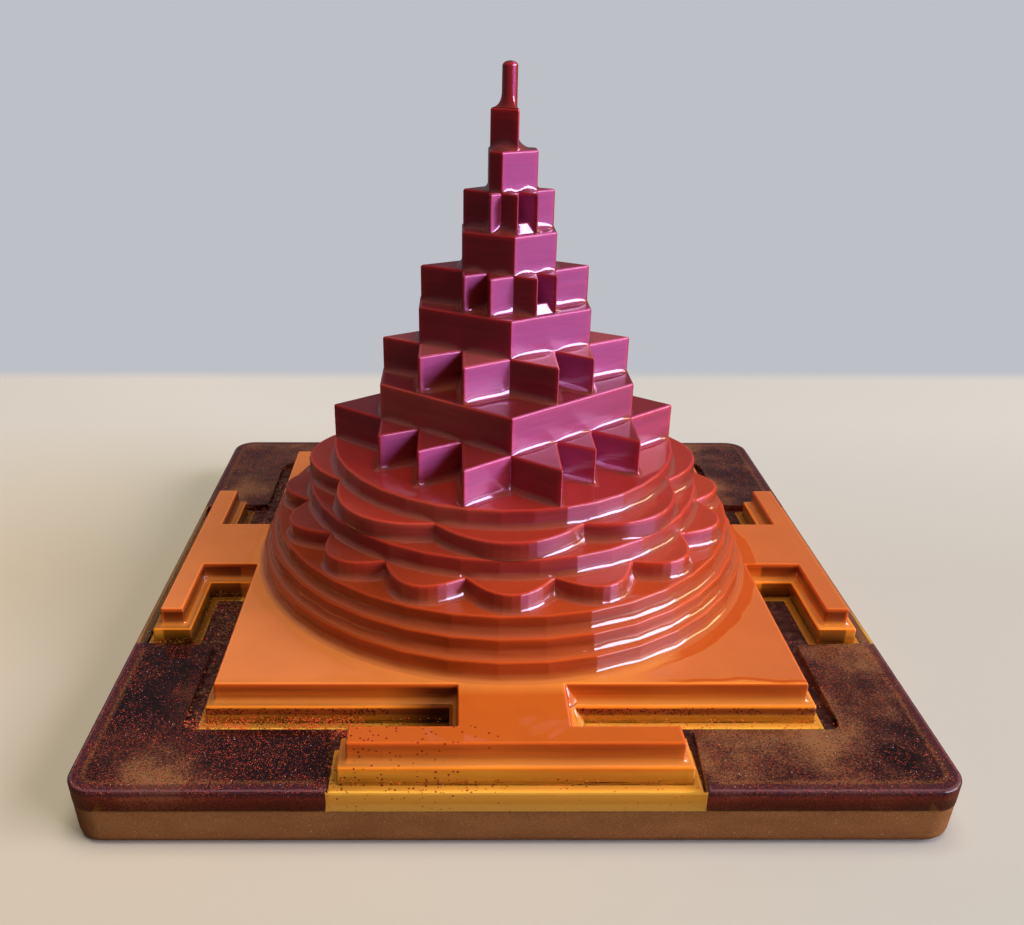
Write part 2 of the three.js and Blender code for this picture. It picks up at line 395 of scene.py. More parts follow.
def storey(name, materials, outline, below, foot_width, foot_height, climb, is_round):
    """One storey of the print: its foot runs out in a hollow curve, and its top edge is rounded."""
    bottom, top, _ = extent(name)
    shape = Outline(outline)
    wall = shape.ring(0, CORNER_RADIUS, NOTCH_RADIUS)
    close = shape.notch_closeness()
    corner = shape.on_outer_corner()
    rings, resin, edge = [], [], []

    def add(points, wet, bright):
        rings.append(points)
        resin.append([wet] * len(points))
        edge.append([max(bright, on) for on in corner])

    if foot_width:
        far = shape.ring(foot_width, CORNER_RADIUS + foot_width, NOTCH_RADIUS + 0.4 * foot_width)
        soft = wall
        if is_round:
            mean = sum(math.hypot(*p) for p in wall) / len(wall)
            soft = [at_radius(p, mean) for p in wall]
            far = [at_radius(p, mean + foot_width) for p in wall]
        shares = foot_reach(wall, far, below)
        for step in range(FOOT_STEPS, -1, -1):
            angle = step / FOOT_STEPS * math.pi / 2
            rounded = min(1.0, 4 * (1 - math.cos(angle)))
            points = []
            for i, b in enumerate(far):
                a = between(wall[i], soft[i], rounded)
                out = shares[i] * (1 - math.cos(angle))
                wave = 0.1 * noise.noise(Vector((a[0], a[1], bottom)) * 0.3)
                height = foot_height * (0.35 + 0.65 * shares[i] + climb * close[i] + wave)
                z = bottom - SINK + height * (1 - math.sin(angle))
                points.append((*between(a, b, out), z))
            add(points, 1.0 if step else 0.5, 0.0)
    wall_end = top - EDGE_RADIUS - WALL_GAP
    start = bottom + foot_height * (1.35 + climb)
    for level in sorted({min(start, wall_end), wall_end}):
        if level >= bottom + foot_height * (1.2 + climb):
            add(at_level(wall, level), 0.0, 0.0)
    for inset, drop in rounding(EDGE_RADIUS, EDGE_STEPS):
        points = shape.ring(-inset, max(0.05, CORNER_RADIUS - inset), NOTCH_RADIUS + inset)
        add(at_level(points, top - drop), 0.0, 1.0)
    inset = EDGE_RADIUS + EDGE_MARGIN
    add(at_level(shape.ring(-inset, 0.05, NOTCH_RADIUS + inset), top), 0.0, 0.0)
    edge[-1] = [0.0] * len(wall)
    kinds = [0] * (len(rings) - 1)
    if foot_width:
        kinds[:FOOT_STEPS] = [1] * FOOT_STEPS
    kinds[-1] = 2
    attributes = {"resin": resin, "edge": edge}
    obj = loft(name + "_coated", rings, materials, attributes, kinds)
    dress(obj, name)
    return obj


def dress(obj, node):
    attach(obj, "root")
    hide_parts(node)


# Materials


def srgb(*colour):
    """A colour given as 0 to 255 on screen, as Blender's linear colour."""
    shares = [value / 255 for value in colour]
    return (*(s / 12.92 if s <= 0.04045 else ((s + 0.055) / 1.055) ** 2.4 for s in shares), 1.0)


class Nodes:
    """Short calls for building a material's or a world's nodes. x, y and z are in millimetres."""

    def __init__(self, name, owners=bpy.data.materials):
        self.owner = owners.new(name)
        self.owner.use_nodes = True
        self.tree = self.owner.node_tree
        self.shader = self.tree.nodes.get("Principled BSDF")
        self.place = self.add("ShaderNodeTexCoord").outputs["Object"]
        self.x, self.y, self.z = self.split(self.stretched(1, 1, 1))

    def add(self, kind, inputs=(), **settings):
        node = self.tree.nodes.new(kind)
        for key, value in settings.items():
            setattr(node, key, value)
        for key, value in dict(inputs).items():
            self.put(value, node.inputs[key])
        return node

    def put(self, value, socket):
        if isinstance(value, bpy.types.NodeSocket):
            self.tree.links.new(value, socket)
        elif isinstance(value, bpy.types.Node):
            self.tree.links.new(value.outputs[0], socket)
        else:
            socket.default_value = value

    def math(self, operation, *values):
        return self.add("ShaderNodeMath", enumerate(values), operation=operation).outputs[0]

    def times(self, first, *others):
        for value in others:
            first = self.math("MULTIPLY", first, value)
        return first

    def plus(self, first, *others):
        for value in others:
            first = self.math("ADD", first, value)
        return first

    def most(self, a, b):
        return self.math("MAXIMUM", a, b)

    def vector(self, operation, *values):
        return self.add("ShaderNodeVectorMath", enumerate(values), operation=operation).outputs

    def stretched(self, x, y, z):
        """The place in millimetres times a factor for each axis."""
        return self.vector("MULTIPLY", self.place, (x / MM, y / MM, z / MM))[0]

    def noise(self, x, y, z, detail=2.0, roughness=0.5):
        """Noise with about this many swells a millimetre along each axis."""
        inputs = {"Vector": self.stretched(x, y, z), "Scale": 1.0, "Detail": detail, "Roughness": roughness}
        return self.add("ShaderNodeTexNoise", inputs).outputs["Fac"]

    def swing(self, noise, reach):
        """How far a noise lies from its middle, times a reach."""
        return self.times(self.plus(noise, -0.5), reach)

    def ramp(self, value, stops, full=1.0):
        """A colour by a value, from stops of a share of full and a screen colour."""
        node = self.add("ShaderNodeValToRGB", {"Fac": value})
        elements = node.color_ramp.elements
        while len(elements) < len(stops):
            elements.new(0.5)
        for element, (stop, *colour) in zip(elements, stops):
            element.position = stop / full
            element.color = srgb(*colour)
        return node.outputs["Color"]

    def span(self, value, low, high, to_low=0.0, to_high=1.0):
        inputs = {"Value": value, "From Min": low, "From Max": high, "To Min": to_low, "To Max": to_high}
        return self.add("ShaderNodeMapRange", inputs, clamp=True).outputs["Result"]

    def band(self, value, low, full_low, full_high, high):
        """1 between the middle two limits, falling to 0 at the outer two."""
        return self.times(self.span(value, low, full_low), self.span(value, high, full_high))

    def mix(self, share, a, b, blend="MIX"):
        inputs = {0: share, 6: a, 7: b}
        return self.add("ShaderNodeMix", inputs, data_type="RGBA", blend_type=blend).outputs[2]

    def darkened(self, colour, shade):
        return self.mix(1.0, colour, shade, "MULTIPLY")

    def tinted(self, colour, share, tint):
        return self.mix(share, colour, self.mix(1.0, colour, (*tint, 1.0), "MULTIPLY"))

    def raster(self, degrees, pitch=0.45):
        """Lines that run across the flat tops at an angle, 0 to 1."""
        angle, rate = math.radians(degrees), 2 * math.pi / pitch
        across = self.times(self.x, math.cos(angle) * rate)
        across = self.plus(across, self.times(self.y, math.sin(angle) * rate))
        return self.span(self.math("SINE", across), -1.0, 1.0)

    def flakes(self, colour, per_mm, radius, share, flake_colour, seed):
        """Strews flakes over a colour. The share of places that hold one may be a socket."""
        moved = self.vector("ADD", self.stretched(per_mm, per_mm, per_mm), (seed, seed * 2, seed * 3))
        cells = self.add("ShaderNodeTexVoronoi", {"Vector": moved[0], "Scale": 1.0}).outputs
        picked, bright, _ = self.split(cells["Color"])
        near = self.math("LESS_THAN", cells["Distance"], radius)
        here = self.times(self.math("LESS_THAN", picked, share), near)
        return self.mix(here, colour, self.darkened(flake_colour, self.span(bright, 0.0, 1.0, 0.45, 1.1)))

    def split(self, vector):
        return self.add("ShaderNodeSeparateXYZ", {0: vector}).outputs

    def facing(self, axis):
        """How far the surface faces along an axis."""
        return self.split(self.add("ShaderNodeNewGeometry").outputs["Normal"])[axis]

    def attribute(self, name):
        return self.add("ShaderNodeAttribute", attribute_name=name).outputs["Fac"]

    def bump(self, height, strength, distance, normal=None):
        inputs = {"Height": height, "Strength": strength, "Distance": distance * MM}
        if normal is not None:
            inputs["Normal"] = normal
        return self.add("ShaderNodeBump", inputs).outputs["Normal"]

    def finish(self, **values):
        for key, value in values.items():
            self.put(value, self.shader.inputs[key.replace("_", " ")])
        return self.owner


# Colours by height, as (millimetres, red, green, blue on screen)

# The print's walls, from the yellow lowest tier to the deep red pin
PRINT_COLOURS = (
    (10, 255, 206, 84),
    (13.4, 255, 204, 84),
    (15.5, 255, 188, 58),
    (18.4, 246, 138, 36),
    (21, 220, 104, 28),
    (24, 182, 74, 20),
    (31, 172, 65, 18),
    (38, 167, 58, 20),
    (44, 162, 52, 30),
    (51, 160, 48, 36),
    (61, 158, 44, 38),
    (80, 148, 40, 32),
    (105, 138, 30, 26),
    (138, 146, 32, 28),
    (150, 186, 42, 34),
    (160, 186, 42, 34),
)
PRINT_TOP = 160.0

# Its flat tops, which look duller than the walls. Their colours hold painted light too: painted shade on
# the upper tops, which lie sheltered between walls, and a painted pink sheen around 88 mm.
TOP_COLOURS = (
    (13.4, 236, 164, 60),
    (23, 220, 120, 62),
    (27, 192, 84, 32),
    (42, 186, 68, 32),
    (54, 172, 54, 34),
    (59, 164, 46, 36),
    (68, 132, 38, 28),
    (80, 112, 34, 28),
    (88, 174, 80, 80),
    (96, 130, 40, 38),
    (160, 126, 34, 34),
)

# The thick resin in the feet and inner corners
RESIN_COLOURS = (
    (15, 220, 140, 56),
    (30, 204, 96, 46),
    (40, 180, 96, 62),
    (60, 150, 82, 58),
    (160, 140, 74, 60),
)
LAYER_PITCH = 0.21
COATS = (("_wall", 1.5), ("_foot", 2.0), ("_top", 1.35))  # how strongly the clear coat reflects

# The dull dry parts of the uppermost square tier's top: beyond the round tiers' resin and behind
# the strip along its front edge
DRY_FROM_RADIUS = 75.4
DRY_TO_FRONT = 69.3
DRY_CORNER = 6  # how softly those two limits meet


def print_wall_colour(n, height, wall, layers):
    """The walls fade with the height. The layers differ a little, some walls are paler, and painted window
    light lightens the walls on the right.
    """
    colour = n.ramp(height, PRINT_COLOURS, PRINT_TOP)
    shade = n.times(n.span(layers, 0.35, 0.65, -0.20, 0.08), n.span(n.z, 18, 21, 0.25, 1), wall)
    colour = n.darkened(colour, n.plus(shade, 1))
    plates = n.most(n.band(n.z, 50, 54, 58.4, 59), n.band(n.z, 68.6, 69, 79, 82))
    colour = n.mix(n.times(plates, n.span(n.x, 0, -16, 0, 0.6)), colour, srgb(205, 92, 72))
    # Painted light: from about 28 mm up, the walls on the right are lightened by up to 35 per cent, as if
    # lit by the window.
    right = n.times(n.span(n.x, 15, 50), n.span(n.z, 28, 34, 0, 0.35))
    return n.darkened(colour, n.plus(right, 1))


def print_top_colour(n, height):
    """The flat tops, darkened on the left below about 50 mm as painted shade. On the uppermost square tier,
    painted light makes the top lighter on the left and darker on the right, and wet resin with a dark
    border ends at dry print.
    """
    x, y, z = n.x, n.y, n.z
    colour = n.ramp(height, TOP_COLOURS, PRINT_TOP)
    # Painted shade: below about 50 mm the tops darken towards the left.
    colour = n.darkened(colour, n.most(n.span(x, -46, -4, 0.56, 1), n.span(z, 46, 52)))
    reach = n.vector("LENGTH", n.stretched(1, 1, 0))["Value"]
    behind = n.math("SUBTRACT", DRY_TO_FRONT, n.math("ABSOLUTE", y))
    into_dry = n.math("SMOOTH_MIN", n.plus(reach, -DRY_FROM_RADIUS), behind, DRY_CORNER)
    into_dry = n.plus(into_dry, n.swing(n.noise(0.07, 0.07, 0.07), 4))
    tier = n.band(z, 22.4, 22.8, 24.2, 24.6)
    # Painted light and shade: the uppermost square tier's top is coloured lighter on the left and darker on
    # the right, to even out the window's light from the right.
    colour = n.mix(tier, colour, n.mix(n.span(x, -70, 70), srgb(240, 138, 74), srgb(212, 114, 58)))
    wet = n.times(n.span(into_dry, 0.5, -0.3), tier, n.span(x, -40, 10, 0.4, 1))
    colour = n.mix(wet, colour, srgb(236, 140, 58))
    border = n.times(n.span(x, 36, 44), n.span(reach, 76.2, 75.2))
    border = n.most(border, n.span(into_dry, -1.7, -1))
    border = n.times(border, n.span(into_dry, 0.4, -0.4), tier, n.span(x, 30, 44, 0.1, 1))
    colour = n.mix(border, colour, srgb(206, 90, 26))
    return n.mix(n.times(n.span(y, -72, -76, 0, 0.85), tier), colour, srgb(208, 94, 24))


def print_marks(n, colour, wall, bare):
    """Painted shade in the pockets beside the gates, painted shade and dark reflection in the nook left of
    the front gate's stem, and a darker band with flakes over the front's lower ledge.
    """
    x, y, z = n.x, n.y, n.z
    aside, ahead = n.math("ABSOLUTE", x), n.math("ABSOLUTE", y)
    low = n.span(z, 22.9, 22.2)
    pocket_shade = n.times(n.band(aside, 76.2, 76.8, 92.4, 93), low, n.most(wall, n.span(z, 13.7, 13.6)))
    nook_shade = n.times(n.band(x, -31, -19, -12.9, -12.7), low, n.span(ahead, 94, 84), n.span(y, -70, -71))
    ledge = n.times(n.band(ahead, 71, 72, 77, 78), n.band(z, 15.6, 16.2, 17.6, 18.1))
    darker_band = n.times(ledge, n.span(y, 0, -1), bare)
    # Painted shade: the walls in the pockets beside the gates are darkened.
    colour = n.tinted(colour, pocket_shade, (0.36, 0.30, 0.24))
    # Painted shade and painted dark reflection: the nook left of the front gate's stem is darkened.
    colour = n.tinted(colour, nook_shade, (0.20, 0.14, 0.12))
    # A darker purplish tint over the front's lower ledge, where dark flakes are strewn too.
    colour = n.tinted(colour, darker_band, (0.40, 0.20, 0.30))
    heaps = n.span(n.noise(0.12, 0.02, 0.02, 1), 0.42, 0.55, 0.05, 0.95)
    return n.flakes(colour, 1.9, 0.46, n.times(darker_band, heaps), srgb(96, 24, 12), 13)


def print_material(name, coat, tint, level, index, ridges, edge_highlight):
    """Layered plastic under clear resin. The layers spread reflections up and down the walls."""
    n = Nodes(name)
    height = n.plus(n.math("DIVIDE", n.z, PRINT_TOP), n.swing(n.noise(0.03, 0.03, 0.05, 1), 0.02))
    facing = n.facing(2)
    flat = n.span(facing, 0.7, 0.95)
    wall = n.span(facing, 0.6, 0.2)
    resin = n.attribute("resin")
    bare = n.times(n.span(resin, 1, 0), wall)
    layers = n.noise(0.015, 0.015, 0.85, 3, 0.62)
    colour = n.mix(flat, print_wall_colour(n, height, wall, layers), print_top_colour(n, height))
    # Painted highlight: the rounded top edges and outer corners are lightened by a tint.
    colour = n.tinted(colour, n.times(n.attribute("edge"), 0.85), edge_highlight)
    colour = print_marks(n, colour, wall, bare)
    colour = n.darkened(colour, n.span(n.noise(0.045, 0.045, 0.1, 3, 0.6), 0.3, 0.7, 0.93, 1.05))
    raster = n.times(n.raster(45), n.raster(-45), flat)
    colour = n.darkened(colour, n.span(raster, 0, 1, 1.02, 0.90))
    strewn = n.times(n.span(n.x, -38, 0, 0.5, 0), n.span(n.y, -86, -87), n.span(n.z, 24, 23.9))
    colour = n.flakes(colour, 1, 0.27, strewn, srgb(150, 34, 24), 9)
    colour = n.mix(n.times(resin, 0.5), colour, n.ramp(height, RESIN_COLOURS, PRINT_TOP))
    swell = n.noise(0.06, 0.06, 0.25)
    grooves = n.math("SINE", n.times(n.z, 2 * math.pi / LAYER_PITCH))
    ridged = n.bump(layers, n.times(bare, ridges), 0.5, n.bump(swell, 0.15, 1))
    return n.finish(
        Base_Color=colour,
        Roughness=n.span(resin, 0, 1, 0.45, 0.22),
        Normal=n.bump(layers, 0.2, 0.3, n.bump(swell, 0.3, 1)),
        Tangent=n.add("ShaderNodeCombineXYZ", {0: 0.04, 1: 0.03, 2: 1}),
        Anisotropic=1,
        IOR=index,
        Specular_IOR_Level=level,
        Specular_Tint=tint,
        Coat_Weight=1,
        Coat_Roughness=0.02,
        Coat_IOR=coat,
        Coat_Normal=n.bump(grooves, bare, 0.016 * ridges, ridged),
    )


def print_finishes(name, *look):
    """The same print on walls, in the thick glossy resin of the feet, and on flat tops."""
    return [print_material(name + part, coat, *look) for part, coat in COATS]


def gold_material():
    n = Nodes("resin_gold")
    colour = n.ramp(n.noise(0.05, 0.05, 0.12, 4, 0.6), ((0.3, 150, 98, 54), (0.7, 176, 120, 70)))
    grain = n.noise(2.6, 2.6, 2.6, 2, 0.7)
    colour = n.darkened(colour, n.span(grain, 0.3, 0.7, 0.70, 1.26))
    ragged = n.plus(n.z, n.swing(grain, 1.2))
    colour = n.mix(n.span(ragged, 9.75, 9.85, 0, 0.8), colour, srgb(92, 52, 20))
    # Painted light: the gold layer's upward faces are painted a brighter yellow, standing in for the light
    # that comes through the clear resin.
    colour = n.mix(n.span(n.facing(2), 0.7, 0.9), colour, srgb(172, 124, 46))
    colour = n.flakes(colour, 2.3, 0.28, 0.12, srgb(206, 160, 96), 3)
    colour = n.flakes(colour, 0.9, 0.15, 0.05, srgb(230, 205, 160), 11)
    return n.finish(
        Base_Color=colour,
        Roughness=0.5,
        Normal=n.bump(grain, 0.3, 0.15),
        Specular_IOR_Level=0.35,
        Coat_Weight=0.2,
        Coat_Roughness=0.25,
    )


GLOSS = {"Coat_Weight": 1, "Coat_Roughness": 0.03}  # on purple and clear resin
SPOT_X, SPOT_Y = 88.4, -88.6  # a dark blot in the purple resin
SWAY_LENGTH = 71  # from one gold cloud along the front to the next


def purple_material():
    """Dark purple resin with gold clouds, and glitter that gathers towards the left."""
    n = Nodes("resin_purple")
    x, y, z = n.x, n.y, n.z
    clouds = n.noise(0.03, 0.03, 0.03, 5, 0.62)
    grain = n.noise(1.8, 1.8, 1.8, 3, 0.75)
    sway = n.math("COSINE", n.times(n.plus(x, 82), 2 * math.pi / SWAY_LENGTH))
    sway = n.times(sway, n.span(y, -70, -45, 0.06, 0))
    back = n.times(n.span(y, -40, 40), n.span(x, -40, 60, 0.03, 0.08))
    mixed = n.plus(clouds, n.swing(grain, 0.5), sway, back)
    ahead = n.times(n.span(y, -60, -80), n.span(x, -60, 50, -0.055, 0.02))
    stops = ((0.40, 26, 10, 14), (0.49, 54, 22, 22), (0.56, 94, 54, 38), (0.67, 148, 100, 62))
    colour = n.ramp(n.plus(mixed, ahead), stops)
    rim, outer = n.attribute("rim"), n.attribute("outer")
    colour = n.mix(n.times(n.span(rim, 2.2, 3, 0.75, 0), outer), colour, srgb(80, 38, 44))
    line = n.times(n.band(rim, 2.4, 3, 3.4, 4.2), outer, n.span(grain, 0.42, 0.56, 0, 0.6))
    colour = n.mix(line, colour, srgb(156, 98, 58))
    # Painted highlight: a pale lavender line along the rounding of the slab's top edge.
    rim_highlight = n.times(n.band(rim, 0.3, 0.5, 0.8, 1.1), outer, 0.55)
    colour = n.mix(rim_highlight, colour, srgb(134, 92, 98))
    side = n.ramp(mixed, ((0.42, 122, 34, 26), (0.54, 150, 52, 38), (0.68, 186, 100, 66)))
    colour = n.mix(n.span(z, 14.8, 13.6), colour, side)
    ragged = n.plus(z, n.swing(grain, 3.2))
    colour = n.mix(n.span(ragged, 10.5, 10.2), colour, srgb(128, 80, 42))
    off_x, off_y = n.math("ABSOLUTE", n.plus(x, -SPOT_X)), n.math("ABSOLUTE", n.plus(y, -SPOT_Y))
    off_spot = n.plus(off_x, off_y, n.swing(grain, 5))
    colour = n.mix(n.span(off_spot, 4.5, 7.5, 0.95, 0), colour, srgb(20, 5, 5))
    gather = n.noise(0.09, 0.09, 0.09)
    share = n.times(n.span(x, -100, 70, 1, 0.5), n.span(gather, 0.35, 0.62, 0.08, 0.42))
    for strewn in (
        (2.6, 0.4, n.times(share, 1.3), srgb(24, 8, 10), 41),
        (3, 0.38, n.times(share, 1.7), srgb(156, 70, 48), 29),
        (2, 0.28, n.times(share, 1.1), srgb(214, 78, 46), 2),
        (1.5, 0.17, n.times(share, 0.5), srgb(255, 168, 130), 7),
        (1.6, 0.24, 0.08, srgb(176, 74, 96), 17),
        (1, 0.11, 0.08, srgb(236, 220, 236), 5),
    ):
        colour = n.flakes(colour, *strewn)
    return n.finish(
        Base_Color=colour,
        Roughness=0.45,
        Specular_IOR_Level=0.2,
        **GLOSS,
        Coat_IOR=1.4,
        Coat_Normal=n.bump(clouds, 0.06, 1),
    )


def bed_material():
    """The dark resin under the clear resin beside the print."""
    n = Nodes("resin_bed")
    grain = n.noise(0.5, 0.5, 0.5, 4, 0.7)
    colour = n.ramp(grain, ((0.35, 48, 22, 24), (0.55, 76, 46, 44), (0.7, 104, 76, 66)))
    colour = n.flakes(colour, 2, 0.3, 0.06, srgb(170, 60, 44), 2)
    return n.finish(Base_Color=colour, Roughness=0.5, Specular_IOR_Level=0.2)


def clear_material():
    """Clear resin over the lowest square tier, with dark and red flakes in it. Where it holds no flake, its
    front face is painted with the yellow of the lit tier behind it, as painted light.
    """
    n = Nodes("resin_clear")
    x, y, z = n.x, n.y, n.z
    aside = n.math("ABSOLUTE", x)
    white, black = srgb(255, 255, 255), srgb(0, 0, 0)
    share = n.times(n.span(n.noise(0.08, 0.08, 0.08), 0.38, 0.60), n.span(x, -60, 0, 0.6, 0.04))
    dark = n.flakes(black, 1.5, 0.36, share, white, 23)
    ledge = n.times(n.band(y, -80, -79, -72, -70), n.span(aside, 16, 20))
    heaps = n.span(n.noise(0.10, 0.02, 0.02, 1), 0.40, 0.54)
    share = n.times(ledge, heaps, n.span(x, -70, 20, 1, 0.12), 0.75)
    red = n.flakes(black, 2.1, 0.46, n.plus(share, 0.012), white, 31)
    flaked = n.most(dark, red)
    colour = n.mix(red, n.mix(dark, srgb(226, 170, 80), srgb(120, 30, 20)), srgb(250, 84, 50))
    beside = n.span(n.most(aside, y), 98.7, 99)
    lit = n.times(n.span(x, 0, 1), n.span(y, -24, -38))
    colour = n.mix(beside, colour, n.mix(lit, srgb(176, 122, 76), srgb(220, 176, 58)))
    # Painted light: the clear resin's front face is painted with the yellow of the lowest tier behind it,
    # as if lit through the resin.
    front = n.times(n.span(y, -98.8, -99.2), n.span(n.facing(1), -0.5, -0.9))
    tint = n.mix(n.span(z, 10.4, 12.8), srgb(232, 176, 78), srgb(255, 178, 62))
    colour = n.mix(n.times(front, n.span(flaked, 1, 0)), colour, tint)
    return n.finish(
        Base_Color=colour,
        Alpha=n.most(flaked, n.plus(n.times(beside, 0.92), n.times(front, 0.8))),
        Roughness=0.2,
        **GLOSS,
    )


# The slab

SLAB_RIM_RADIUS = 0.7
SLAB_FOOT_RADIUS = 2.5
SLAB_CORNER = 7.0
SLAB_CORNER_STEPS = 12
SLAB_LEAN = 0.6
BAND_STEPS = (1.3, 2.2, 3.0, 3.7, 4.4)  # distances in from the edge of the purple top
CLEAR_REACH = 2.8  # how far the clear resin reaches beyond the lowest square tier
CLEAR_END = 1.2  # and beyond the ends of its crossbars
CLEAR_CORNER = 3.0
BED_DROP = 0.2  # how far the dark bed under the clear resin lies below that tier's top


def turned(points, quarter):
    c, s = round(math.cos(quarter * math.pi / 2)), round(math.sin(quarter * math.pi / 2))
    return [(p[0] * c - p[1] * s, p[0] * s + p[1] * c) + tuple(p[2:]) for p in points]


def arc(centre, radius, start, end, steps=6):
    angles = [math.radians(start + (end - start) * step / steps) for step in range(steps + 1)]
    return [(centre[0] + radius * math.cos(a), centre[1] + radius * math.sin(a)) for a in angles]


def rounded_square(half, radius):
    corner = arc((half - radius, half - radius), radius, 0, 90, SLAB_CORNER_STEPS)
    return [point for quarter in range(4) for point in turned(corner, quarter)]


def build_gold(material):
    top = extent("resin_base_gold")[1]
    _, slab_top, slab_half = extent("resin_base_purple")
    rings = []
    for z, inset in [*rounding(SLAB_FOOT_RADIUS, 6), (top / 2, 0.0), (top - 0.1, 0.0), (top, 0.0)]:
        half = slab_half - SLAB_LEAN * (slab_top - z) / slab_top - inset
        rings.append(at_level(rounded_square(half, SLAB_CORNER - inset), z))
    dress(loft("gold_layer", rings, [material]), "resin_base_gold")


def clear_edge(lower):
    """Where the clear resin ends: beside the square tiers, beside the crossbars, and its corner."""
    far = lower[0] + CLEAR_REACH
    corner = arc((far - CLEAR_CORNER, CLEAR_CORNER - far), CLEAR_CORNER, -90, 0)
    return far, lower[4] + CLEAR_END, corner


def build_purple(material, bed, lower):
    """Four corner blocks of dark resin, between the windows in front of the gates."""
    bottom, top, half = extent("resin_base_purple")
    square, stem, inner, outer, bar = lower
    far, end, corner = clear_edge(lower)
    centre = (half - SLAB_CORNER, SLAB_CORNER - half)
    block = [(bar, -half), *arc(centre, SLAB_CORNER, -90, 0, SLAB_CORNER_STEPS), (half, -bar)]
    block += [(far, -end), *corner[::-1], (end, -far)]
    shape = Outline(block, 2.5)
    wall = shape.ring(0)
    slab = rounded_square(half, SLAB_CORNER)
    is_outer = [distance_inside(point, slab) < 0.3 for point in wall]
    foot = shape.ring(-SLAB_LEAN * (top - bottom) / top)
    rings = [
        [(*(f if out else w), bottom) for f, w, out in zip(foot, wall, is_outer)],
        [(*w, top - (SLAB_RIM_RADIUS if out else 0.3)) for w, out in zip(wall, is_outer)],
    ]
    levels = [*rounding(SLAB_RIM_RADIUS, 4, 1), *((distance, 0.0) for distance in BAND_STEPS)]
    for distance, drop in levels:
        ring = zip(shape.ring(-distance), is_outer)
        rings.append([(x, y, top - drop if out else top) for (x, y), out in ring])
    rim = [[distance] * len(wall) for distance, _ in [(0.0, 0.0)] * 2 + levels]
    flags = [[float(out) for out in is_outer]] * len(rings)
    edge, reach = outer - 0.1, far + 1.1
    past = end + 2.0
    strip = [(past, -edge), (past, -reach), (reach, -reach), (reach, -past), (edge, -past)]
    strip += [(edge, -bar), (inner, -bar), (inner, -stem), (square, -stem), (square, -square)]
    strip += [(stem, -square), (stem, -inner), (bar, -inner), (bar, -edge)]
    level = extent("bhupura_tier_lower")[1] - BED_DROP
    strip = Outline(strip, 6.0).ring(0)
    for quarter in range(4):
        placed = [turned(points, quarter) for points in rings]
        obj = loft("purple_corner_%d" % (quarter + 1), placed, [material], {"rim": rim, "outer": flags})
        dress(obj, "resin_base_purple")
        placed = [turned(at_level(strip, z), quarter) for z in (bottom, level)]
        dress(loft("dark_bed_%d" % (quarter + 1), placed, [bed]), "resin_base_purple")


def build_clear(material, lower, middle):
    """The clear resin over the lowest tier's ledge and in front of the four gates."""
    bottom, top, half = extent("resin_base_purple")
    top, half = top - 0.01, half - 0.01  # clear of the dark resin's faces
    ledge = extent("bhupura_tier_lower")[1] + 0.02
    foot = half - SLAB_LEAN * (top - bottom) / top
    square, stem, inner, outer, bar = middle
    bar_low, outer_low = lower[4], lower[3]
    far, end, corner = clear_edge(lower)
    beside = end - CLEAR_END * (inner - far) / (half - far)
    columns = [((square, -square), point) for point in corner]
    columns += [((square, -stem), (far, -end)), ((inner, -stem), (far, -end))]
    columns += [((inner, -bar), (inner, -beside)), ((outer, -bar), (outer, -beside))]
    columns.append(((outer, -bar), (half, -bar_low)))
    columns += [((ax, -ay), (bx, -by)) for (ax, ay), (bx, by) in columns[:6:-1]]
    rings = [[] for _ in range(10)]
    for side in range(4):
        for (ax, ay), (bx, by) in columns:
            front = bx == half
            at = outer_low if front else bx
            under = bottom if front else ledge
            column = [(ax, ay, ledge), (at, by, ledge), (at, by, under)]
            column.append((foot if front else bx, by, under))
            for inset, drop in rounding(SLAB_RIM_RADIUS, 4):
                column.append((bx - inset, by, top - drop) if front else (bx, by, top - 0.02))
            column.append((ax, ay, top))
            for ring, point in zip(rings, column):
                ring.append(turned([point], side)[0])
    obj = new_object("clear_resin", *bands(rings, True), material, smooth=False)
    tidy_faces(obj)
    dress(obj, "resin_base_purple")


def tidy_faces(obj):
    """Merges points that coincide and drops the empty faces that they leave."""
    mesh = bmesh.new()
    mesh.from_mesh(obj.data)
    bmesh.ops.remove_doubles(mesh, verts=mesh.verts, dist=1e-6)
    bmesh.ops.dissolve_degenerate(mesh, edges=mesh.edges, dist=1e-7)
    bmesh.ops.recalc_face_normals(mesh, faces=mesh.faces)
    mesh.to_mesh(obj.data)
    mesh.free()


def gate_sizes(node, wider=0.0):
    """Half sizes of a square tier: square, stem, the crossbar's near and far side, crossbar."""
    loop = without_straight_points(top_outline(node))
    front = sorted((y, x) for x, y in loop if x > 0 and y < 0)
    outer = -front[0][0]
    bar = front[0][1]
    inner = -[y for y, x in front if abs(x - bar) < 0.01][-1]
    stem = [x for y, x in front if abs(y + inner) < 0.01][0]
    square = max(x for y, x in front if abs(x + y) < 0.01)
    return square + wider, stem + wider, inner - wider, outer + wider, bar + wider


MIDDLE_FROM, UPPER_FROM = 40.0, 60.0  # levels where the print's next finish begins


def build_print(materials):
    below = None
    outlines = {}
    for name, slot, width, height, climb in STOREYS:
        _, top, half = extent(name)
        is_round = name.startswith(("circle_", "round_"))
        if is_round:
            outline = circle(half)
        elif name.startswith("lotus_"):
            cad = [math.hypot(*p) for p in top_outline(name)]
            petals = 16 if "sixteen" in name else 8
            outline = lotus(petals, min(cad), max(cad), 12 if petals == 16 else 20)
        else:
            outline = without_straight_points(top_outline(name))
        outlines[name] = outline
        finishes = materials[(top > MIDDLE_FROM) + (top > UPPER_FROM)]
        storey(name, finishes, outline, below, width, height, climb, is_round)
        below = outline
    return outlines


